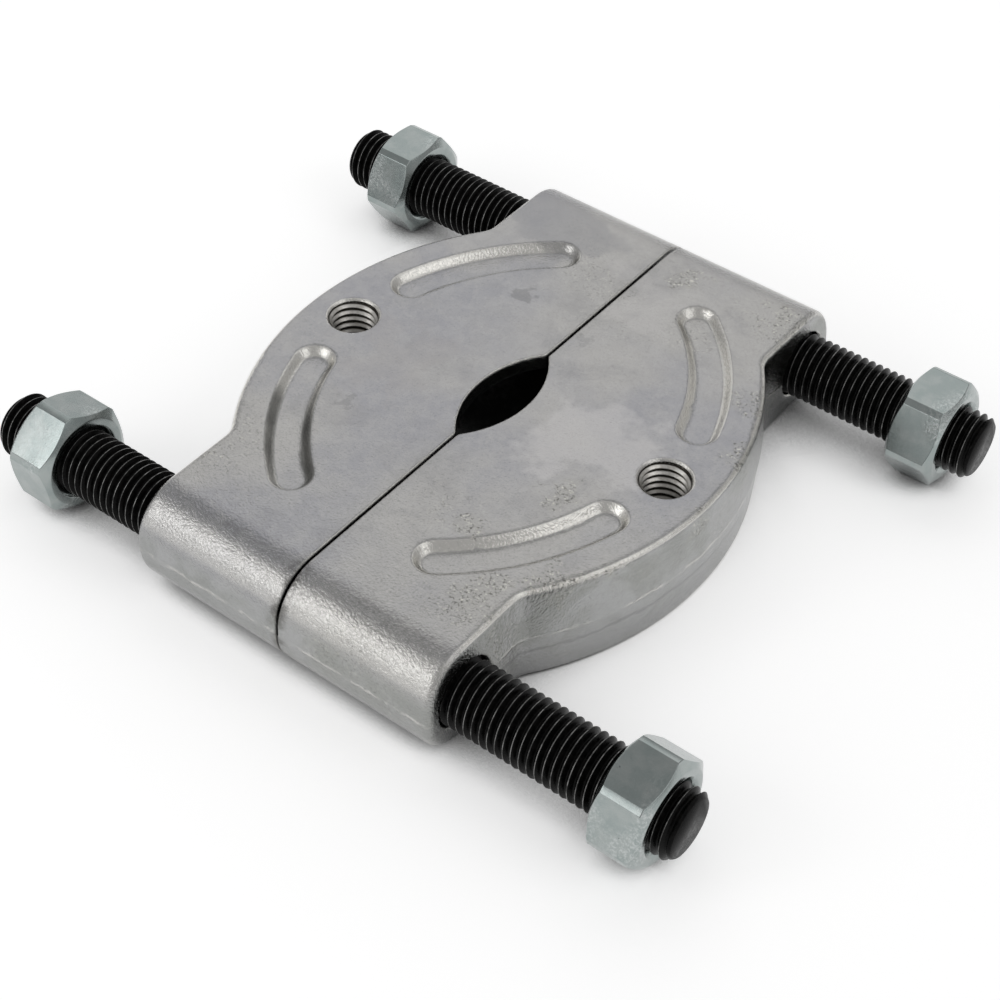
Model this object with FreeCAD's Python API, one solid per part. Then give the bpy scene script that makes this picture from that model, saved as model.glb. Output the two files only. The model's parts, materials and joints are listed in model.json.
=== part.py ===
import FreeCAD, Part
import math
import os
from FreeCAD import Vector

os.makedirs("parts", exist_ok=True)

# Bearing separator: two forged halves on two studs, each stud with a hex nut at both ends.
# Millimetres. X runs along the studs, Y along the split, Z up, and the floor is at zero.

# Forged half
plate_t = 27.0
rim_r = 77.5
rim_back = 20.0
rim_draft = 0.8
lug_reach = 41.2
lug_past_stud = 12.4
lug_round = 12.0
neck_r = 6.0
edge_round = 1.8
split_gap = 0.7

# Jaw opening and the wedge under its lip
jaw_chord = 34.0
jaw_depth = 6.3
jaw_corner = 1.5
jaw_break = 0.4
jaw_lip = 4.0
wedge_wall = 5.3

# Stud bores
bore_clear = 0.5
bore_chamfer = 0.6

# Threaded puller holes
puller_r = 6.0
puller_in = 12.85
puller_chamfer = 0.55

# Pockets in the top face
pocket_in = 13.6
pocket_from = 16.2
pocket_to = 51.2
pocket_w = 10.2
pocket_taper = 1.9
pocket_depth = 2.2
pocket_edge_round = 1.2
pocket_floor_round = 1.8

# Studs
stud_d = 16.0
stud_len = 188.0
stud_spacing = 132.0
stud_shift_front = 2.9
stud_shift_rear = -3.8
stud_chamfer = 1.2

# Hex nuts
nut_flats = 24.0
nut_corners = 26.75
nut_h = 12.5
nut_face_d = 22.0
nut_bevel = 32.0
nut_clear = 0.05
nut_sink = 1.15

# Thread left showing past each nut, and the nut's turn about its stud
past_front_left = 9.0
past_front_right = 4.3
past_rear_left = 10.4
past_rear_right = 6.7
turn_front_left = 38.4
turn_front_right = 13.0
turn_rear_left = 4.0
turn_rear_right = 5.0

# Worked out from the sizes above
stud_r = stud_d / 2
stud_y = stud_spacing / 2
stud_z = plate_t / 2
stud_mid = {-1: stud_shift_front, 1: stud_shift_rear}
lug_y = stud_y + lug_past_stud
hole_x = rim_r - rim_back - puller_in
jaw_r = ((jaw_chord / 2) ** 2 + jaw_depth ** 2) / (2 * jaw_depth)
jaw_x = jaw_depth - jaw_r
over = 1.0
near = 0.0001


def outline(inset, z):
    """Plan of a half, split face on x = 0, drawn in from the parting line by inset."""
    blend_x = lug_reach + neck_r
    blend_y = math.sqrt((rim_r + neck_r) ** 2 - (blend_x + rim_back) ** 2)
    blend_r = neck_r + inset
    toward = math.atan2(blend_y, blend_x + rim_back)
    middle = math.pi + toward / 2
    reach = rim_r - inset
    lug_x = lug_reach - inset
    end_y = lug_y - inset
    rim_end = (reach * math.cos(toward) - rim_back, reach * math.sin(toward))
    blend_mid = (blend_x + blend_r * math.cos(middle), blend_y + blend_r * math.sin(middle))

    def at(x, y):
        return Vector(x, y, z)

    edges = [
        Part.makeLine(at(0, -end_y), at(lug_x, -end_y)),
        Part.makeLine(at(lug_x, -end_y), at(lug_x, -blend_y)),
        Part.Arc(at(lug_x, -blend_y), at(blend_mid[0], -blend_mid[1]), at(rim_end[0], -rim_end[1])).toShape(),
        Part.Arc(at(rim_end[0], -rim_end[1]), at(reach - rim_back, 0), at(*rim_end)).toShape(),
        Part.Arc(at(*rim_end), at(*blend_mid), at(lug_x, blend_y)).toShape(),
        Part.makeLine(at(lug_x, blend_y), at(lug_x, end_y)),
        Part.makeLine(at(lug_x, end_y), at(0, end_y)),
        Part.makeLine(at(0, end_y), at(0, -end_y)),
    ]
    return Part.Wire(edges)


def blank():
    """The forging: drafted both ways from the parting line, with rounded lugs and edges."""
    upper = Part.makeLoft([outline(0, plate_t / 2), outline(rim_draft, plate_t)], True, True)
    round_r = min(lug_round, plate_t / 2 - over)
    ends = []
    for edge in upper.Edges:
        box = edge.BoundBox
        if box.ZMin > plate_t - near and box.YLength < near:
            ends.append(edge)
    upper = upper.makeFillet(round_r, ends)

    rims = []
    for edge in upper.Edges:
        box = edge.BoundBox
        on_split = box.XMax < near
        on_parting = box.ZMax < plate_t / 2 + near
        along_x = box.YLength < near and box.ZLength < near
        at_lug_end = min(abs(box.YMin), abs(box.YMax)) > lug_y - rim_draft - round_r - over
        on_top = box.ZMin > plate_t - near
        if (on_top or at_lug_end) and not (on_split or on_parting or along_x):
            rims.append(edge)
    upper = upper.makeFillet(edge_round, rims)
    lower = upper.mirror(Vector(0, 0, plate_t / 2), Vector(0, 0, 1))
    return upper.fuse(lower).removeSplitter()


def upright_cone(x, y, r_low, r_high, z_low, z_high):
    return Part.makeCone(r_low, r_high, z_high - z_low, Vector(x, y, z_low), Vector(0, 0, 1))


def cut_jaw(body):
    """Jaw opening with broken corners, then the wedge that leaves a thin lip at the top."""
    body = body.cut(Part.makeCylinder(jaw_r, plate_t + 2 * over, Vector(jaw_x, 0, -over)))
    corners = []
    for edge in body.Edges:
        box = edge.BoundBox
        if box.XMax < near and abs(abs(box.YMin) - jaw_chord / 2) < near and box.YLength < near:
            corners.append(edge)
    body = body.makeFillet(jaw_corner, corners)

    brim = []
    for edge in body.Edges:
        box = edge.BoundBox
        inside = max(abs(box.YMin), abs(box.YMax)) < jaw_chord / 2 + jaw_corner and box.XMax < jaw_depth + near
        if box.ZMin > plate_t - near and inside:
            brim.append(edge)
    body = body.makeFillet(jaw_break, brim)

    top = plate_t - jaw_lip
    floor_r = hole_x - puller_r - wedge_wall - jaw_x
    flare = (floor_r - jaw_r) / top
    wedge = upright_cone(jaw_x, 0, floor_r + over * flare, jaw_r - over * flare, -over, top + over)
    return body.cut(wedge)


def cut_bores(body):
    """Clear holes for the studs along X, chamfered at both mouths."""
    radius = stud_r + bore_clear
    wide = radius + bore_chamfer + over
    along = Vector(1, 0, 0)
    for side in (-1, 1):
        def at(x):
            return Vector(x, side * stud_y, stud_z)

        bore = Part.makeCylinder(radius, lug_reach + 2 * over, at(-over), along)
        inner = Part.makeCone(wide, radius, bore_chamfer + over, at(-over), along)
        outer = Part.makeCone(radius, wide, bore_chamfer + over, at(lug_reach - bore_chamfer), along)
        body = body.cut(bore.multiFuse([inner, outer]))
    return body


def cut_puller_hole(body):
    """Through hole for a puller's screw, its wall on the thread's outer size."""
    wide = puller_r + puller_chamfer
    low = upright_cone(hole_x, 0, wide + over, puller_r, -over, puller_chamfer)
    high = upright_cone(hole_x, 0, puller_r, wide + over, plate_t - puller_chamfer, plate_t + over)
    bore = Part.makeCylinder(puller_r, plate_t + 2 * over, Vector(hole_x, 0, -over))
    return body.cut(bore.multiFuse([low, high]))


def slot(half_w, z):
    """Slot with round ends on an arc about the rim's centre."""
    mid_r = rim_r - pocket_in
    start = math.radians(pocket_from)
    end = math.radians(pocket_to)

    def at(radius, angle, ahead=0.0):
        x = radius * math.cos(angle) - ahead * math.sin(angle) - rim_back
        return Vector(x, radius * math.sin(angle) + ahead * math.cos(angle), z)

    middle = (start + end) / 2
    outer = mid_r + half_w
    inner = mid_r - half_w
    edges = [
        Part.Arc(at(outer, start), at(outer, middle), at(outer, end)).toShape(),
        Part.Arc(at(outer, end), at(mid_r, end, half_w), at(inner, end)).toShape(),
        Part.Arc(at(inner, end), at(inner, middle), at(inner, start)).toShape(),
        Part.Arc(at(inner, start), at(mid_r, start, -half_w), at(outer, start)).toShape(),
    ]
    return Part.Wire(edges)


def cut_pockets(body):
    """Two shallow pockets with sloping walls and soft edges in the top face."""
    floor_z = plate_t - pocket_depth
    floor_w = pocket_w / 2 - pocket_taper
    above = pocket_w / 2 + pocket_taper * over / pocket_depth
    cutter = Part.makeLoft([slot(floor_w, floor_z), slot(above, plate_t + over)], True, True)
    floor = [edge for edge in cutter.Edges if edge.BoundBox.ZMax < floor_z + near]
    cutter = cutter.makeFillet(min(pocket_floor_round, pocket_depth), floor)
    body = body.cut(cutter)
    body = body.cut(cutter.mirror(Vector(0, 0, 0), Vector(0, 1, 0)))

    mid_r = rim_r - pocket_in
    rims = []
    for edge in body.Edges:
        box = edge.BoundBox
        if box.ZMin < plate_t - near:
            continue
        point = edge.valueAt((edge.FirstParameter + edge.LastParameter) / 2)
        away = math.hypot(point.x + rim_back, point.y) - mid_r
        across = abs(math.degrees(math.atan2(point.y, point.x + rim_back)))
        if abs(away) < pocket_w / 2 + near and pocket_from / 2 < across < pocket_to + pocket_from / 2:
            rims.append(edge)
    return body.makeFillet(pocket_edge_round, rims)


def half():
    """The right half in its place."""
    body = cut_jaw(blank())
    body = cut_bores(body)
    body = cut_puller_hole(body)
    body = cut_pockets(body)
    body.translate(Vector(split_gap / 2, 0, 0))
    return body


def stud(side):
    start = Vector(stud_mid[side] - stud_len / 2, side * stud_y, stud_z)
    bar = Part.makeCylinder(stud_r, stud_len, start, Vector(1, 0, 0))
    ends = [edge for edge in bar.Edges if edge.BoundBox.XLength < near]
    return bar.makeChamfer(stud_chamfer, ends)


def nut(split_side, stud_side, past, turn):
    """Hex nut with bevelled corners, bored to slide on the plain stud."""
    corner = nut_flats / math.sqrt(3)
    points = []
    for step in range(7):
        angle = math.radians(60 * step + turn)
        points.append(Vector(0, corner * math.cos(angle), corner * math.sin(angle)))
    prism = Part.Face(Part.makePolygon(points)).extrude(Vector(nut_h, 0, 0))

    corner_r = nut_corners / 2
    face_r = nut_face_d / 2
    bevel = (corner_r - face_r) * math.tan(math.radians(nut_bevel))
    bore_r = stud_r + nut_clear
    sink_r = bore_r + nut_sink
    profile = [
        Vector(0, sink_r, 0),
        Vector(0, face_r, 0),
        Vector(bevel, corner_r, 0),
        Vector(nut_h - bevel, corner_r, 0),
        Vector(nut_h, face_r, 0),
        Vector(nut_h, sink_r, 0),
        Vector(nut_h - nut_sink, bore_r, 0),
        Vector(nut_sink, bore_r, 0),
        Vector(0, sink_r, 0),
    ]
    turned = Part.Face(Part.makePolygon(profile)).revolve(Vector(0, 0, 0), Vector(1, 0, 0), 360)
    body = prism.common(turned)

    stud_end = stud_mid[stud_side] + split_side * stud_len / 2
    outer = stud_end - split_side * past
    low = min(outer, outer - split_side * nut_h)
    body.translate(Vector(low, stud_side * stud_y, stud_z))
    return body


right = half()
left = right.copy()
left.rotate(Vector(0, 0, 0), Vector(0, 0, 1), 180)
shapes = {
    "left_half": left,
    "right_half": right,
    "front_stud": stud(-1),
    "rear_stud": stud(1),
    "nut_front_left": nut(-1, -1, past_front_left, turn_front_left),
    "nut_front_right": nut(1, -1, past_front_right, turn_front_right),
    "nut_rear_left": nut(-1, 1, past_rear_left, turn_rear_left),
    "nut_rear_right": nut(1, 1, past_rear_right, turn_rear_right),
}
for name, shape in shapes.items():
    shape.exportStep("parts/" + name + ".step")
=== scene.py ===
import json
import math

import bmesh
import bpy
from mathutils import Matrix, Vector


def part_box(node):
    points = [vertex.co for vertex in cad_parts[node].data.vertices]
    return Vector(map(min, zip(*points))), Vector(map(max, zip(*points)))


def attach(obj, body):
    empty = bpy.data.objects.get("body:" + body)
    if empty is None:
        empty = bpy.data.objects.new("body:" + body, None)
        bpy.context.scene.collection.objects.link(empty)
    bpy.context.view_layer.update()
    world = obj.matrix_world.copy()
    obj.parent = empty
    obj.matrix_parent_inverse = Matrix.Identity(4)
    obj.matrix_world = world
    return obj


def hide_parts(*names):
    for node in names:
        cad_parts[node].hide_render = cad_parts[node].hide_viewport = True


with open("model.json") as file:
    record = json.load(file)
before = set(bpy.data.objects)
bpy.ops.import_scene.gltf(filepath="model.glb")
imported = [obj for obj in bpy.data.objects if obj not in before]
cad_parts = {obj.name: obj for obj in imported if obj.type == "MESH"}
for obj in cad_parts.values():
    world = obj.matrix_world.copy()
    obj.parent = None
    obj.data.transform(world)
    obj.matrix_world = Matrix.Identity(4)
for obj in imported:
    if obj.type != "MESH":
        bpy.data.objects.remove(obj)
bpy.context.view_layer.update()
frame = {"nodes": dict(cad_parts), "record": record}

mm = 0.001

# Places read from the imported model, in metres
half_low, half_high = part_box("right_half")
stud_boxes = {name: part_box(name) for name in ("front_stud", "rear_stud")}
mounts = {mount["name"]: mount for mount in frame["record"]["mounts"]}
plate_top = half_high.z

# Stud thread
stud_pitch = 2.0 * mm
stud_root_r = 6.82 * mm
stud_tip_r = 6.75 * mm

# Puller hole thread
hole_pitch = 1.95 * mm
hole_crest_r = 5.1 * mm
hole_skin = 0.04 * mm
hole_mouth = 0.55 * mm

# One pitch of a thread as (share of the pitch, share of the depth below the crest)
thread_shape = (
    (0.0, 1.0), (0.08, 0.97), (0.17, 0.76), (0.395, 0.14), (0.445, 0.03),
    (0.5, 0.0), (0.555, 0.03), (0.605, 0.14), (0.83, 0.76), (0.92, 0.97),
)

# Facets round a thread, turns laid past each end of it, and how near points count as one or as on its end
thread_steps = 72
spare_turns = 2
weld = 0.0001 * mm
on_end = 0.001 * mm

# Hex nut finish
nut_flats = 24.0 * mm
nut_corners = 26.75 * mm
nut_face_r = 10.95 * mm
nut_bevel = math.radians(32.0)
nut_sink_r = 9.25 * mm
nut_bore_r = 8.12 * mm
nut_soft = 0.16 * mm
nut_turns = {"nut_front_left": 38.4, "nut_front_right": 13.0, "nut_rear_left": 4.0, "nut_rear_right": 5.0}

# Angles of a nut's profiles from the middle of a face, in degrees: plain ones, and ones close to its corner
nut_plain_angles = (0.0, 6.0, 12.0, 17.0, 21.0, 23.5)
nut_corner_angles = (25.0, 25.7, 26.0, 26.35, 26.8, 28.0, 29.0)

# Edges sharper than this stay sharp
sharp_angle = math.radians(50.0)

# Camera, fitted to the photograph
cam_azimuth = math.radians(36.846)
cam_elevation = math.radians(44.735)
cam_roll = math.radians(1.101)
cam_distance = 435.446 * mm
cam_target = Vector((20.635, -27.873, 27.0)) * mm
cam_lens = 72.336
cam_sensor = 36.0
cam_clip = (0.01, 50.0)

# Places on the forgings as (where a mark fades out, where it is full)
# Painted shade at the foot of the walls
wall_foot_shade = (16.0 * mm, 0.0)
plate_not_lug = (68.0 * mm, 64.0 * mm)
split_side = (3.6 * mm, 0.6 * mm)
split_on_lug = (66.0 * mm, 72.0 * mm)
rim_band = (60.0 * mm, 72.0 * mm)
rim_span = (66.0 * mm, 58.0 * mm)

# Parting line: half width of its ridge and groove, how far it wavers, and its groove's drop
seam_side = (0.8 * mm, 0.1 * mm)
seam_wave = 0.45 * mm
groove_drop = 4.5 * mm

# Softened edges and the depths of the bumps
edge_soft = 1.0 * mm
blast_depth = 0.24 * mm
dent_depth = 0.08 * mm
cloud_depth = 0.1 * mm
ridge_depth = 0.15 * mm
cut_depth = 0.05 * mm
black_depth = 0.04 * mm
spangle_depth = 0.05 * mm

# Oily dirt and painted shade in a puller hole: how far inside its wall, how ragged, and how far below the
# top face
root_dirt_and_shade = (0.38 * mm, 0.14 * mm)
root_ragged = 0.08 * mm
# Painted shade deeper in a puller hole
hole_shade = (3.0 * mm, 11.0 * mm)

# Bare metal on a stud, partly a painted highlight, as far below its crests
crest_bare_and_highlit = (0.06 * mm, 0.01 * mm)

# Marks on the forgings, placed from the photograph, as (x, y, reach) in mm
speck_zones = (
    (34.0, -54.0, 9.0), (47.0, -40.0, 7.0), (55.0, -30.0, 6.0), (30.0, -18.0, 5.0), (19.0, -38.0, 5.0),
    (61.0, -5.0, 7.0), (54.0, 20.0, 8.0), (49.0, 36.0, 8.0), (38.0, 62.0, 8.0), (10.0, 62.0, 5.0),
)
# Painted shade on the walls of the front left pocket
pocket_shade_zones = ((-36.0, -34.0, 12.0), (-27.0, -42.0, 13.0), (-17.0, -47.0, 9.0))

# Stains as (x, y, reach, depth, colour), the first three in mm
stains = (
    (28.0, -2.0, 15.0, 0.55, (0.5, 0.49, 0.485, 1.0)),
    (7.0, 46.0, 13.0, 0.3, (0.48, 0.47, 0.46, 1.0)),
    (-27.0, -6.0, 15.0, 0.3, (0.34, 0.325, 0.32, 1.0)),
    (-26.0, 62.0, 17.0, 0.5, (0.27, 0.27, 0.28, 1.0)),
    (-17.6, 31.6, 4.0, 0.35, (0.13, 0.13, 0.13, 1.0)),
    (-26.3, -24.0, 2.6, 0.25, (0.13, 0.13, 0.13, 1.0)),
    (3.6, 27.0, 2.4, 0.2, (0.13, 0.13, 0.13, 1.0)),
)

# Noise as (waves a metre, detail, roughness, distortion)
patterns = {
    "broad": (26, 3, 0.55, 0.0),
    "cloud": (58, 5, 0.62, 0.6),
    "mottle": (230, 4, 0.65, 0.4),
    "wear": (34, 2, 0.5, 0.0),
    "rim_wear": (60, 3, 0.6, 0.0),
    "patches": (480, 5, 0.7, 0.0),
    "pale_specks": (1200, 3, 0.7, 0.0),
    "dark_specks": (1400, 3, 0.75, 0.0),
    "seam_breaks": (140, 4, 0.65, 0.0),
    "blasting": (1700, 3, 0.6, 0.0),
    "dents": (620, 3, 0.55, 0.0),
    "grit": (900, 3, 0.6, 0.0),
    "crest_wear": (420, 3, 0.6, 0.0),
    "black_grain": (2600, 2, 0.5, 0.0),
    "zinc_zones": (40, 2, 0.5, 0.0),
    "spangle": (1500, 4, 0.7, 0.6),
    "zinc_cloud": (210, 3, 0.6, 0.0),
}

# Tones as (level, tint)
tones = {
    "cool_face": (0.322, (0.985, 0.985, 1.035)),
    "warm_face": (0.382, (1.015, 1.0, 0.975)),
    "dull_cloud": (0.28, (1.0, 0.99, 1.01)),
    "light_mottle": (0.46, (1.01, 1.0, 0.98)),
    # Painted sheen: slopes a little paler than the tops
    "slope": (0.43, (1.01, 1.01, 0.99)),
    # Wall tones: mottled, and partly painted shade
    "green_wall": (0.28, (0.98, 1.01, 0.96)),
    "plain_wall": (0.38, (0.99, 1.0, 1.0)),
    # Painted shade at the foot of the walls
    "wall_foot_shade": (0.24, (0.99, 1.0, 1.01)),
    # Worn edges, also a painted highlight
    "rubbed_and_highlit": (0.72, (1.02, 1.0, 0.95)),
    # Chipped edges, also a painted highlight
    "chipped_and_highlit": (0.75, (1.02, 1.0, 0.95)),
    # Painted shade on pocket walls
    "pocket_shade": (0.13, (1.0, 1.0, 0.97)),
    # Darker tone along the split on the lugs
    "split_dark": (0.12, (1.03, 1.0, 0.94)),
    "worn": (0.33, (1.03, 1.02, 0.9)),
    "pale_speck": (0.6, (1.03, 1.01, 0.92)),
    "dark_speck": (0.08, (1.06, 1.0, 0.9)),
    "ridge": (0.6, (1.02, 1.0, 0.96)),
    # Painted shade of the groove below the parting line
    "groove_shade": (0.16, (1.0, 1.0, 1.0)),
    "cut_dull": (0.5, (1.04, 1.0, 0.93)),
    "cut_bright": (0.68, (1.02, 1.0, 0.96)),
    # Oily dirt and painted shade in thread roots
    "oily_root_and_shade": (0.02, (1.2, 1.0, 0.8)),
    # Painted shade deep in a puller hole
    "deep_hole_shade": (0.07, (1.15, 1.0, 0.85)),
    "black": (0.002, (1.0, 1.0, 1.0)),
    "worn_black": (0.006, (1.05, 1.0, 0.95)),
    # Bare crests, also a painted highlight
    "bare_and_highlit_crest": (0.26, (1.0, 0.99, 0.97)),
    "green_zinc": (0.33, (0.9, 1.02, 1.0)),
    "pale_zinc": (0.38, (0.93, 1.01, 0.99)),
    "frost": (0.62, (0.97, 1.01, 1.0)),
    "pit": (0.12, (0.9, 1.0, 1.0)),
    "floor": (0.8, (1.0, 1.0, 1.0)),
    # Painted shade of the floor under the part
    "under_part_shade": (0.04, (1.0, 1.0, 1.0)),
}

# Floor: half its side, how far it lies below the part, the reach of the part's shade, and its own white
floor_reach = 30.0
floor_drop = 0.05 * mm
floor_shade = 60 * mm
floor_glow = 0.49

# World's strength, and how far the lamps stand from the middle of the part in metres
world_strength = 0.43
lamp_distance = 0.9

# Soft boxes as (name, azimuth, elevation, width and height in metres, watts)
soft_boxes = (
    ("back_box", -150, 45, 1.0, 0.7, 1.3),
    ("back_low_box", -130, 13, 1.0, 0.35, 0.4),
    ("front_left_box", -38, 36, 0.3, 0.25, 0.5),
    ("front_low_box", -30, 23, 0.4, 0.3, 0.4),
    ("front_box", -8, 30, 0.3, 0.3, 0.35),
    ("front_edge_box", -8, 10, 0.4, 0.2, 0.09),
    ("right_box", 98, 42, 0.5, 0.45, 0.7),
)


def new_object(name, bm):
    mesh = bpy.data.meshes.new(name)
    bmesh.ops.recalc_face_normals(bm, faces=bm.faces)
    bm.to_mesh(mesh)
    bm.free()
    obj = bpy.data.objects.new(name, mesh)
    bpy.context.scene.collection.objects.link(obj)
    return obj


def shade(obj):
    for polygon in obj.data.polygons:
        polygon.use_smooth = True
    obj.data.set_sharp_from_angle(angle=sharp_angle)


def helix_skin(bm, low, high, pitch, radius_at):
    """A skin round the X axis whose rows follow the helix. radius_at(x, depth) gives its radius.

    Rows past an end are drawn back onto it, so both ends finish in a plain ring.
    """
    rows_per_turn = len(thread_shape)
    count = int((high - low) / pitch + 2 * spare_turns + 1) * rows_per_turn
    rows = []
    for k in range(count):
        turn, index = divmod(k - spare_turns * rows_per_turn, rows_per_turn)
        share, depth = thread_shape[index]
        row = []
        for j in range(thread_steps):
            angle = 2 * math.pi * j / thread_steps
            x = min(max(low + (turn + share + j / thread_steps) * pitch, low), high)
            r = radius_at(x, depth)
            row.append(bm.verts.new((x, r * math.cos(angle), r * math.sin(angle))))
        rows.append(row)
    for k in range(count - rows_per_turn - 1):
        for j in range(thread_steps):
            a, b = rows[k], rows[k + 1]
            if j + 1 < thread_steps:
                quad = (a[j], b[j], b[j + 1], a[j + 1])
            else:
                quad = (a[j], b[j], rows[k + 1 + rows_per_turn][0], rows[k + rows_per_turn][0])
            bm.faces.new(quad)
    bmesh.ops.remove_doubles(bm, verts=bm.verts, dist=weld)
    bmesh.ops.delete(bm, geom=[v for v in bm.verts if not v.link_faces], context="VERTS")


def end_ring(bm, place):
    """The open ring at one end of a skin, in order of angle."""
    found = {v for e in bm.edges if e.is_boundary for v in e.verts if abs(v.co.x - place) < on_end}
    return sorted(found, key=lambda v: math.atan2(v.co.z, v.co.y))


def join_rings(bm, first, second):
    for j in range(len(first)):
        k = (j + 1) % len(first)
        bm.faces.new((first[j], first[k], second[k], second[j]))


def stud_axis(name):
    """Where a stud's axis lies along Y and Z."""
    low, high = stud_boxes[name]
    return (low.y + high.y) / 2, (low.z + high.z) / 2


def threaded_stud(name):
    """The stud with its rolled thread, chamfered at both ends."""
    low, high = stud_boxes[name]
    axis_y, axis_z = stud_axis(name)
    crest = (high.z - low.z) / 2
    bm = bmesh.new()

    def radius_at(x, depth):
        r = crest - depth * (crest - stud_root_r)
        end = max(min(x - low.x, high.x - x), 0.0)
        return min(r, stud_tip_r + end)

    helix_skin(bm, low.x, high.x, stud_pitch, radius_at)
    for place in (low.x, high.x):
        bm.faces.new(end_ring(bm, place))
    bmesh.ops.translate(bm, verts=bm.verts, vec=(0, axis_y, axis_z))
    obj = new_object(name + "_thread", bm)
    shade(obj)
    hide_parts(name)
    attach(obj, name)
    return obj


def hole_thread(body):
    """Thread standing out from the wall of a puller hole."""
    mount = mounts["puller_hole_" + body.split("_")[0]]
    centre = Vector(mount["pos_m"])
    wall_r = mount["dims"]["r_mm"] * mm
    low = half_low.z + hole_mouth
    high = plate_top - hole_mouth
    bm = bmesh.new()

    def radius_at(x, depth):
        r = wall_r - (1 - depth) * (wall_r - hole_crest_r)
        end = max(min(x - low, high - x), 0.0)
        return min(max(r, wall_r - end), wall_r)

    helix_skin(bm, low, high, hole_pitch, radius_at)
    rings = []
    for place in (low, high):
        ring = end_ring(bm, place)
        grow = (wall_r + hole_skin) / wall_r
        behind = [bm.verts.new((v.co.x, v.co.y * grow, v.co.z * grow)) for v in ring]
        join_rings(bm, ring, behind)
        rings.append(behind)
    join_rings(bm, rings[0], rings[1])
    obj = new_object(body + "_hole_thread", bm)
    obj.data.transform(Matrix.Translation((centre.x, centre.y, 0)) @ Matrix.Rotation(-math.pi / 2, 4, "Y"))
    shade(obj)
    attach(obj, body)
    return obj


def sixth_of_nut():
    """Angles round one sixth of a nut, in degrees from the middle of its face."""
    right = nut_plain_angles + nut_corner_angles
    left = tuple(-a for a in reversed(right[1:]))
    return left + right + (30.0,)


def nut_profile(height, reach):
    """Half a nut's profile as (x, radius), from its bore to its side, with soft edges."""
    edge = (reach - nut_face_r) * math.tan(nut_bevel)
    slope = Vector((math.sin(nut_bevel), math.cos(nut_bevel))) * nut_soft
    return [
        (nut_sink_r - nut_bore_r, nut_bore_r),
        (nut_soft * 0.7, nut_sink_r - nut_soft * 0.7),
        (nut_soft * 0.15, nut_sink_r + nut_soft * 0.2),
        (0, nut_sink_r + nut_soft),
        (0, nut_face_r - nut_soft),
        (nut_soft * 0.2, nut_face_r + nut_soft * 0.3),
        (slope.x * 1.4, nut_face_r + slope.y * 1.4),
        (edge - slope.x, reach - slope.y),
        (edge - slope.x * 0.1, reach - nut_soft * 0.22),
        (edge + nut_soft * 0.6, reach - nut_soft * 0.02),
        (edge + nut_soft * 1.6, reach),
        (height * 0.3, reach),
    ]


def hex_nut(name):
    """Nut with bevelled faces and soft corners, on the same axis and turn as its solid."""
    low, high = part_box(name)
    axis_y, axis_z = stud_axis(name.split("_")[1] + "_stud")
    height = high.x - low.x
    bm = bmesh.new()
    rings = []
    for side in range(6):
        for step in sixth_of_nut():
            reach = min(nut_flats / 2 / math.cos(math.radians(step)), nut_corners / 2)
            profile = nut_profile(height, reach)
            mirrored = [(height - x, r) for x, r in reversed(profile)]
            angle = math.radians(60 * side + 30 + step + nut_turns[name])
            ring = []
            for x, r in profile + mirrored:
                place = (low.x + x, axis_y + r * math.cos(angle), axis_z + r * math.sin(angle))
                ring.append(bm.verts.new(place))
            rings.append(ring)
    for index, ring in enumerate(rings):
        join_rings(bm, ring, rings[(index + 1) % len(rings)])
    obj = new_object(name + "_finished", bm)
    shade(obj)
    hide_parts(name)
    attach(obj, name)
    return obj


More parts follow.
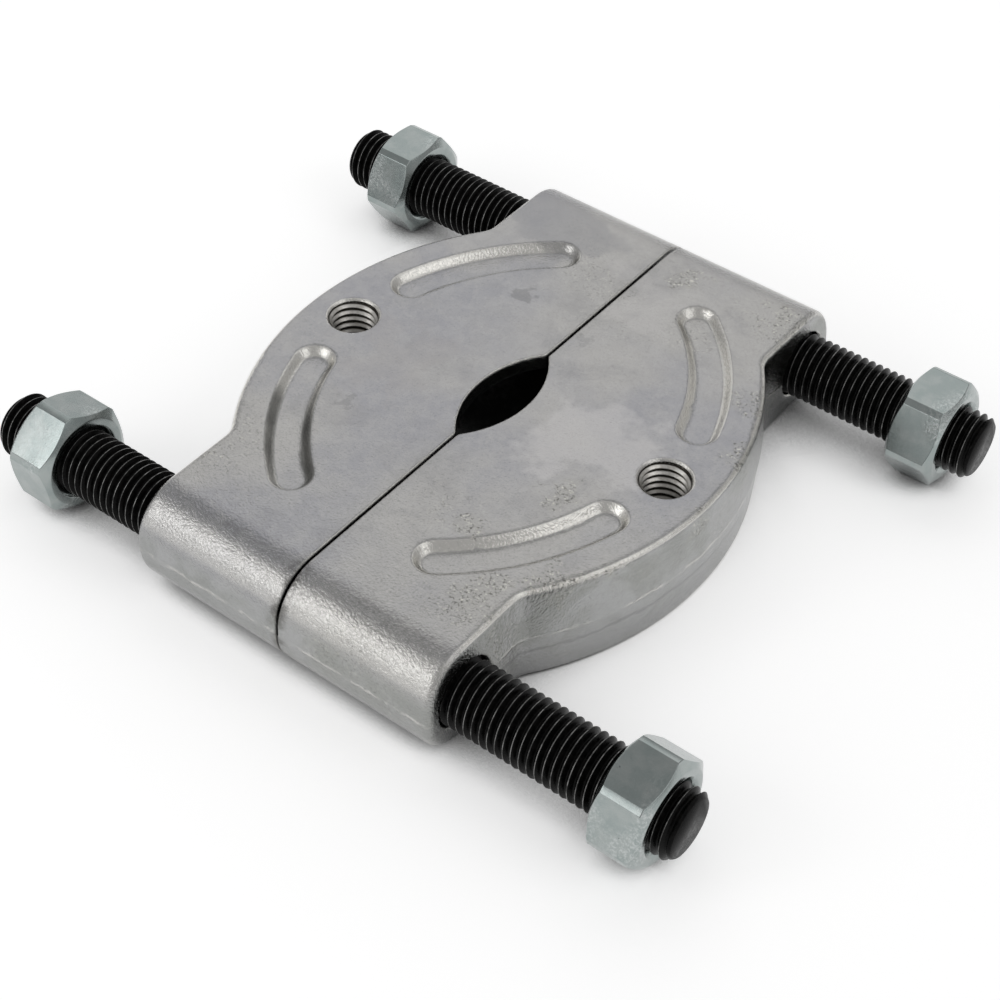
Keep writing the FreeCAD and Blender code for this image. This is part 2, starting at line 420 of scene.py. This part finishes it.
class Nodes:
    """Short helper for building one material's node tree."""

    def __init__(self, name):
        self.material = bpy.data.materials.new(name)
        self.material.use_nodes = True
        self.tree = self.material.node_tree
        self.tree.nodes.clear()
        found = self.add("ShaderNodeTexCoord").outputs
        self.coords, self.normals = found["Object"], found["Normal"]

    def add(self, kind, **settings):
        node = self.tree.nodes.new(kind)
        for key, value in settings.items():
            setattr(node, key, value)
        return node

    def put(self, socket, value):
        if isinstance(value, bpy.types.NodeSocket):
            self.tree.links.new(value, socket)
        else:
            socket.default_value = value

    def noise(self, scale, detail, rough, distortion):
        node = self.add("ShaderNodeTexNoise")
        self.put(node.inputs["Vector"], self.coords)
        self.put(node.inputs["Scale"], scale)
        self.put(node.inputs["Detail"], detail)
        self.put(node.inputs["Roughness"], rough)
        self.put(node.inputs["Distortion"], distortion)
        return node.outputs["Fac"]

    def pattern(self, name):
        return self.noise(*patterns[name])

    def split(self, vector):
        node = self.add("ShaderNodeSeparateXYZ")
        self.put(node.inputs["Vector"], vector)
        return node.outputs

    def ranged(self, value, low, high, to_low=0.0, to_high=1.0):
        """The value eased from its own range into another one."""
        node = self.add("ShaderNodeMapRange", interpolation_type="SMOOTHSTEP")
        for socket, number in zip(node.inputs, (value, low, high, to_low, to_high)):
            self.put(socket, number)
        return node.outputs["Result"]

    def math(self, operation, a, b=0.0):
        node = self.add("ShaderNodeMath", operation=operation)
        self.put(node.inputs[0], a)
        self.put(node.inputs[1], b)
        return node.outputs["Value"]

    def product(self, first, *factors):
        for factor in factors:
            first = self.math("MULTIPLY", first, factor)
        return first

    def apart(self, a, b=0.0):
        """How far a is from b."""
        return self.math("ABSOLUTE", self.math("SUBTRACT", a, b))

    def radius(self, a, b):
        squared = self.math("ADD", self.math("POWER", a, 2.0), self.math("POWER", b, 2.0))
        return self.math("SQRT", squared)

    def mix(self, factor, a, b):
        node = self.add("ShaderNodeMix", data_type="RGBA")
        self.put(node.inputs["Factor"], factor)
        self.put(node.inputs["A"], a)
        self.put(node.inputs["B"], b)
        return node.outputs["Result"]

    def near(self, x, y, reach, ragged):
        """One inside a ragged blot on the top face, nothing outside it. The place and reach are in mm."""
        reach = reach * mm
        far = self.add("ShaderNodeVectorMath", operation="DISTANCE")
        self.put(far.inputs[0], self.coords)
        self.put(far.inputs[1], Vector((x * mm, y * mm, plate_top)))
        wave = self.noise(0.9 / reach, 3, 0.6, 0.0)
        fray = self.ranged(wave, 0.25, 0.75, -ragged * reach, ragged * reach)
        return self.ranged(self.math("ADD", far.outputs["Value"], fray), reach, 0.35 * reach)

    def soft_edge(self, radius):
        """The normal with its edges softened, and how close an edge is."""
        bevel = self.add("ShaderNodeBevel", samples=4)
        self.put(bevel.inputs["Radius"], radius)
        match = self.add("ShaderNodeVectorMath", operation="DOT_PRODUCT")
        self.put(match.inputs[0], bevel.outputs["Normal"])
        self.put(match.inputs[1], self.add("ShaderNodeNewGeometry").outputs["Normal"])
        return bevel.outputs["Normal"], self.ranged(match.outputs["Value"], 0.98, 0.88)

    def bump(self, height, strength, distance, normal=None):
        node = self.add("ShaderNodeBump")
        self.put(node.inputs["Height"], height)
        self.put(node.inputs["Strength"], strength)
        self.put(node.inputs["Distance"], distance)
        if normal is not None:
            self.put(node.inputs["Normal"], normal)
        return node.outputs["Normal"]

    def surface(self, **values):
        shader = self.add("ShaderNodeBsdfPrincipled")
        for key, value in values.items():
            self.put(shader.inputs[key.replace("_", " ")], value)
        out = self.add("ShaderNodeOutputMaterial")
        self.tree.links.new(shader.outputs["BSDF"], out.inputs["Surface"])
        return self.material


def tone(name):
    level, tint = tones[name]
    return tuple(level * share for share in tint) + (1.0,)


def forging_faces(n, place, level, cloud, mottle):
    """Cloudy tops, slopes painted paler as a sheen, and walls in a darker mottled tone that is partly
    painted shade, with painted shade darkening them towards the floor.
    """
    colour = n.mix(n.ranged(n.pattern("broad"), 0.38, 0.62), tone("cool_face"), tone("warm_face"))
    colour = n.mix(n.ranged(cloud, 0.48, 0.72, 0.0, 0.6), colour, tone("dull_cloud"))
    colour = n.mix(n.ranged(mottle, 0.35, 0.7, 0.0, 0.3), colour, tone("light_mottle"))
    # Painted sheen: slopes and walls turned a little paler
    colour = n.mix(n.product(n.ranged(level, 0.998, 0.93), 0.25), colour, tone("slope"))
    # Walls in a darker mottled tone, partly painted shade
    wall = n.mix(n.ranged(cloud, 0.42, 0.62), tone("green_wall"), tone("plain_wall"))
    # Painted shade, darker towards the floor
    wall = n.mix(n.ranged(place["Z"], *wall_foot_shade, 0.0, 0.7), wall, tone("wall_foot_shade"))
    return n.mix(n.ranged(level, 0.5, 0.15, 0.0, 0.75), colour, wall)


def forging_darkening(n, place, level, mottle, colour):
    """Painted shade on the walls of one pocket, and a darker tone along the split where it runs over the
    lugs.
    """
    for x, y, reach in pocket_shade_zones:
        # Painted shade on the pocket's walls only
        pocket_shade = n.product(n.near(x, y, reach, 0.15), n.ranged(level, 0.98, 0.86, 0.0, 0.8))
        colour = n.mix(pocket_shade, colour, tone("pocket_shade"))
    # Darker along the split where it runs over the lugs
    split_darkening = n.product(n.ranged(n.apart(place["X"]), *split_side), n.ranged(mottle, 0.4, 0.6))
    split_darkening = n.product(split_darkening, n.ranged(n.apart(place["Y"]), *split_on_lug, 0.15, 0.8))
    return n.mix(split_darkening, colour, tone("split_dark"))


def forging_specks(n, place, colour):
    """Pale and dark specks in worn zones and along the rim, and a few beyond them."""
    worn = n.ranged(n.pattern("wear"), 0.56, 0.7, 0.0, 0.35)
    for x, y, reach in speck_zones:
        worn = n.math("MAXIMUM", worn, n.near(x, y, reach, 0.7))
    rim = n.ranged(n.radius(place["X"], place["Y"]), *rim_band)
    rim = n.product(rim, n.ranged(n.apart(place["Y"]), *rim_span))
    rim = n.product(rim, n.ranged(n.pattern("rim_wear"), 0.4, 0.56, 0.2, 1.0))
    worn = n.math("MAXIMUM", worn, rim)
    colour = n.mix(n.product(worn, 0.2), colour, tone("worn"))
    patchy = n.ranged(n.pattern("patches"), 0.41, 0.54)
    patchy = n.product(patchy, n.ranged(worn, 0.0, 1.0, 0.12, 1.0))
    pale = n.product(n.ranged(n.pattern("pale_specks"), 0.55, 0.62), 0.6)
    dark = n.product(n.ranged(n.pattern("dark_specks"), 0.54, 0.59), 0.75)
    colour = n.mix(n.product(patchy, pale), colour, tone("pale_speck"))
    return n.mix(n.product(patchy, dark), colour, tone("dark_speck"))


def parting_line(n, place, level, mottle, colour):
    """A broken pale ridge at half height on the walls, with a faint dark line below it, the painted shade
    of a groove.
    """
    side = n.ranged(level, 0.3, 0.1)
    waver = n.math("ADD", place["Z"], n.ranged(mottle, 0.3, 0.7, -seam_wave, seam_wave))
    ridge = n.product(n.ranged(n.apart(waver, plate_top / 2), *seam_side), side)
    ridge = n.product(ridge, n.ranged(n.pattern("seam_breaks"), 0.42, 0.58, 0.1, 1.0))
    colour = n.mix(n.product(ridge, 0.7), colour, tone("ridge"))
    # Painted shade of a groove below the ridge
    groove_shade = n.ranged(n.apart(waver, plate_top / 2 - groove_drop), *seam_side)
    return n.mix(n.product(groove_shade, n.product(side, 0.35)), colour, tone("groove_shade")), ridge


def forged_steel():
    """Blasted forging: cloudy faces, bright grainy edges that are worn and partly a painted highlight,
    painted shade, a darker split, specks, stains and a parting line.
    """
    n = Nodes("forged_steel")
    place = n.split(n.coords)
    level = n.math("ABSOLUTE", n.split(n.normals)["Z"])
    cloud, mottle = n.pattern("cloud"), n.pattern("mottle")

    colour = forging_faces(n, place, level, cloud, mottle)
    # Rounded edges painted paler: wear and a painted highlight, more on the plate than on the lugs
    inner = n.ranged(n.apart(place["Y"]), *plate_not_lug, 0.4, 0.95)
    rubbed_and_highlit = n.product(n.ranged(level, 0.95, 0.83), n.ranged(level, 0.36, 0.52), inner)
    colour = n.mix(rubbed_and_highlit, colour, tone("rubbed_and_highlit"))
    soft, edge = n.soft_edge(edge_soft)
    # Edges painted paler where the bevel bends the normal: chips and a painted highlight
    chipped_and_highlit = n.product(edge, n.ranged(mottle, 0.42, 0.58, 0.1, 0.9))
    colour = n.mix(chipped_and_highlit, colour, tone("chipped_and_highlit"))
    # Painted shade in one pocket, and a darker split on the lugs
    colour = forging_darkening(n, place, level, mottle, colour)
    colour = forging_specks(n, place, colour)
    for x, y, reach, depth, stain in stains:
        colour = n.mix(n.product(n.near(x, y, reach, 0.9), depth), colour, stain)
    colour, ridge = parting_line(n, place, level, mottle, colour)

    grain = n.product(n.ranged(rubbed_and_highlit, 0.0, 0.8, 1.0, 0.55), n.ranged(level, 0.999, 0.95, 0.6, 1.0))
    normal = n.bump(n.pattern("blasting"), grain, blast_depth, soft)
    normal = n.bump(n.pattern("dents"), 1.0, dent_depth, normal)
    normal = n.bump(cloud, 1.0, cloud_depth, normal)
    normal = n.bump(ridge, 1.0, ridge_depth, normal)
    rough = n.ranged(mottle, 0.3, 0.7, 0.12, 0.19)
    return n.surface(Base_Color=colour, Metallic=1.0, Roughness=rough, Normal=normal)


def cut_steel():
    """Bare thread in a puller hole: bright lands, dark oil and painted shade in the roots, and painted
    shade deeper down.
    """
    n = Nodes("cut_steel")
    place = n.split(n.coords)
    hole = mounts["puller_hole_right"]
    wall_r = hole["dims"]["r_mm"] * mm
    radius = n.radius(n.math("SUBTRACT", n.math("ABSOLUTE", place["X"]), hole["pos_m"][0]), place["Y"])
    grit = n.pattern("grit")
    colour = n.mix(n.ranged(grit, 0.3, 0.7), tone("cut_dull"), tone("cut_bright"))
    # Roots darkened by oil and painted shade
    ragged_radius = n.math("ADD", radius, n.ranged(grit, 0.0, 1.0, -root_ragged, root_ragged))
    fades, full = root_dirt_and_shade
    colour = n.mix(n.ranged(ragged_radius, wall_r - fades, wall_r - full), colour, tone("oily_root_and_shade"))
    # Painted shade, darker deeper in the hole
    fades, full = hole_shade
    deep_shade = n.ranged(place["Z"], plate_top - fades, plate_top - full, 0.0, 0.58)
    colour = n.mix(deep_shade, colour, tone("deep_hole_shade"))
    normal = n.bump(grit, 0.6, cut_depth)
    return n.surface(Base_Color=colour, Metallic=1.0, Roughness=0.36, Normal=normal)


def black_oxide():
    """Oily black oxide, rubbed bright along the thread's crests, which are also painted paler as a
    highlight.
    """
    n = Nodes("black_stud")
    low, high = stud_boxes["rear_stud"]
    axis_y, axis_z = stud_axis("rear_stud")
    crest_r = (high.z - low.z) / 2
    place = n.split(n.coords)
    beside = n.math("SUBTRACT", n.math("ABSOLUTE", place["Y"]), axis_y)
    radius = n.radius(beside, n.math("SUBTRACT", place["Z"], axis_z))
    fades, full = crest_bare_and_highlit
    # Crests painted paler: bare metal and a painted highlight
    rubbed_and_highlit = n.ranged(radius, crest_r - fades, crest_r - full)
    rubbed_and_highlit = n.product(rubbed_and_highlit, n.ranged(n.pattern("crest_wear"), 0.35, 0.65, 0.25, 1.0))
    streak = n.pattern("grit")
    colour = n.mix(n.ranged(streak, 0.35, 0.7), tone("black"), tone("worn_black"))
    colour = n.mix(rubbed_and_highlit, colour, tone("bare_and_highlit_crest"))
    rough = n.ranged(streak, 0.3, 0.7, 0.2, 0.34)
    normal = n.bump(n.pattern("black_grain"), 0.4, black_depth)
    return n.surface(
        Base_Color=colour, Metallic=rubbed_and_highlit, Roughness=rough, Specular_IOR_Level=0.06, Normal=normal,
    )


def zinc():
    """Zinc plating: pale, slightly green, with a fine spangle in zones and a few pits."""
    n = Nodes("zinc_nut")
    zone = n.ranged(n.pattern("zinc_zones"), 0.48, 0.6)
    spangle = n.pattern("spangle")
    colour = n.mix(n.ranged(n.pattern("zinc_cloud"), 0.35, 0.7), tone("green_zinc"), tone("pale_zinc"))
    frost = n.product(n.ranged(spangle, 0.42, 0.66), n.ranged(zone, 0.0, 1.0, 0.03, 0.6))
    colour = n.mix(frost, colour, tone("frost"))
    colour = n.mix(n.product(n.ranged(n.pattern("grit"), 0.7, 0.75), 0.7), colour, tone("pit"))
    rough = n.ranged(spangle, 0.3, 0.7, 0.17, 0.25)
    height = n.product(spangle, n.ranged(zone, 0.0, 1.0, 0.12, 1.0))
    normal = n.bump(height, 1.0, spangle_depth)
    return n.surface(Base_Color=colour, Metallic=1.0, Roughness=rough, Normal=normal)


def dress(obj, material):
    obj.data.materials.clear()
    obj.data.materials.append(material)


def floor():
    """A plain white floor that keeps the object's shadow, with painted shade that darkens its colour and
    glow under and close to the part.
    """
    bm = bmesh.new()
    bmesh.ops.create_grid(bm, x_segments=1, y_segments=1, size=floor_reach)
    obj = new_object("floor", bm)
    obj.location.z = half_low.z - floor_drop
    n = Nodes("floor")
    paths = n.add("ShaderNodeLightPath")
    seen = n.math("MAXIMUM", paths.outputs["Is Camera Ray"], paths.outputs["Is Glossy Ray"])
    seen = n.math("MAXIMUM", seen, paths.outputs["Is Transmission Ray"])
    shaded = n.add("ShaderNodeAmbientOcclusion", samples=8)
    n.put(shaded.inputs["Distance"], floor_shade)
    # Painted shade: the floor's colour and glow fall away where the part hides the sky
    open_sky = n.ranged(shaded.outputs["AO"], 0.15, 0.5)
    lit = n.add("ShaderNodeBsdfDiffuse")
    n.put(lit.inputs["Color"], n.mix(open_sky, tone("under_part_shade"), tone("floor")))
    glow = n.add("ShaderNodeEmission")
    n.put(glow.inputs["Strength"], n.product(seen, open_sky, floor_glow))
    both = n.add("ShaderNodeAddShader")
    out = n.add("ShaderNodeOutputMaterial")
    n.tree.links.new(lit.outputs["BSDF"], both.inputs[0])
    n.tree.links.new(glow.outputs["Emission"], both.inputs[1])
    n.tree.links.new(both.outputs["Shader"], out.inputs["Surface"])
    dress(obj, n.material)


def direction(azimuth, elevation):
    """The direction from the object towards a camera or lamp."""
    level = math.cos(elevation)
    return Vector((math.sin(azimuth) * level, -math.cos(azimuth) * level, math.sin(elevation)))


def area_lamp(name, azimuth, elevation, width, height, watts):
    """A soft box that looks at the object's middle from that direction."""
    back = direction(math.radians(azimuth), math.radians(elevation))
    light = bpy.data.lights.new(name, "AREA")
    light.shape = "RECTANGLE"
    light.size, light.size_y = width, height
    light.energy = watts
    lamp = bpy.data.objects.new(name, light)
    bpy.context.scene.collection.objects.link(lamp)
    lamp.rotation_mode = "QUATERNION"
    lamp.location = back * lamp_distance
    lamp.rotation_quaternion = (-back).to_track_quat("-Z", "Y")


def lights():
    """Soft boxes all round, brightest behind on the left, as in a light tent."""
    world = bpy.data.worlds.new("studio")
    bpy.context.scene.world = world
    world.use_nodes = True
    background = world.node_tree.nodes["Background"]
    background.inputs["Color"].default_value = (1, 1, 1, 1)
    background.inputs["Strength"].default_value = world_strength
    for box in soft_boxes:
        area_lamp(*box)


def camera():
    back = direction(cam_azimuth, cam_elevation)
    right = Vector((0, 0, 1)).cross(back).normalized()
    up = back.cross(right)
    turned_right = math.cos(cam_roll) * right + math.sin(cam_roll) * up
    turned_up = math.cos(cam_roll) * up - math.sin(cam_roll) * right
    data = bpy.data.cameras.new("camera")
    data.sensor_width = cam_sensor
    data.lens = cam_lens
    data.clip_start, data.clip_end = cam_clip
    obj = bpy.data.objects.new("camera", data)
    bpy.context.scene.collection.objects.link(obj)
    axes = Matrix((turned_right, turned_up, back)).transposed().to_4x4()
    obj.matrix_world = Matrix.Translation(cam_target + back * cam_distance) @ axes
    bpy.context.scene.camera = obj


steel, bright, black, plated = forged_steel(), cut_steel(), black_oxide(), zinc()
for body in ("left_half", "right_half"):
    dress(frame["nodes"][body], steel)
    dress(hole_thread(body), bright)
for name in stud_boxes:
    dress(threaded_stud(name), black)
for name in nut_turns:
    dress(hex_nut(name), plated)
floor()
lights()
camera()
bpy.context.scene.view_settings.view_transform = "Standard"
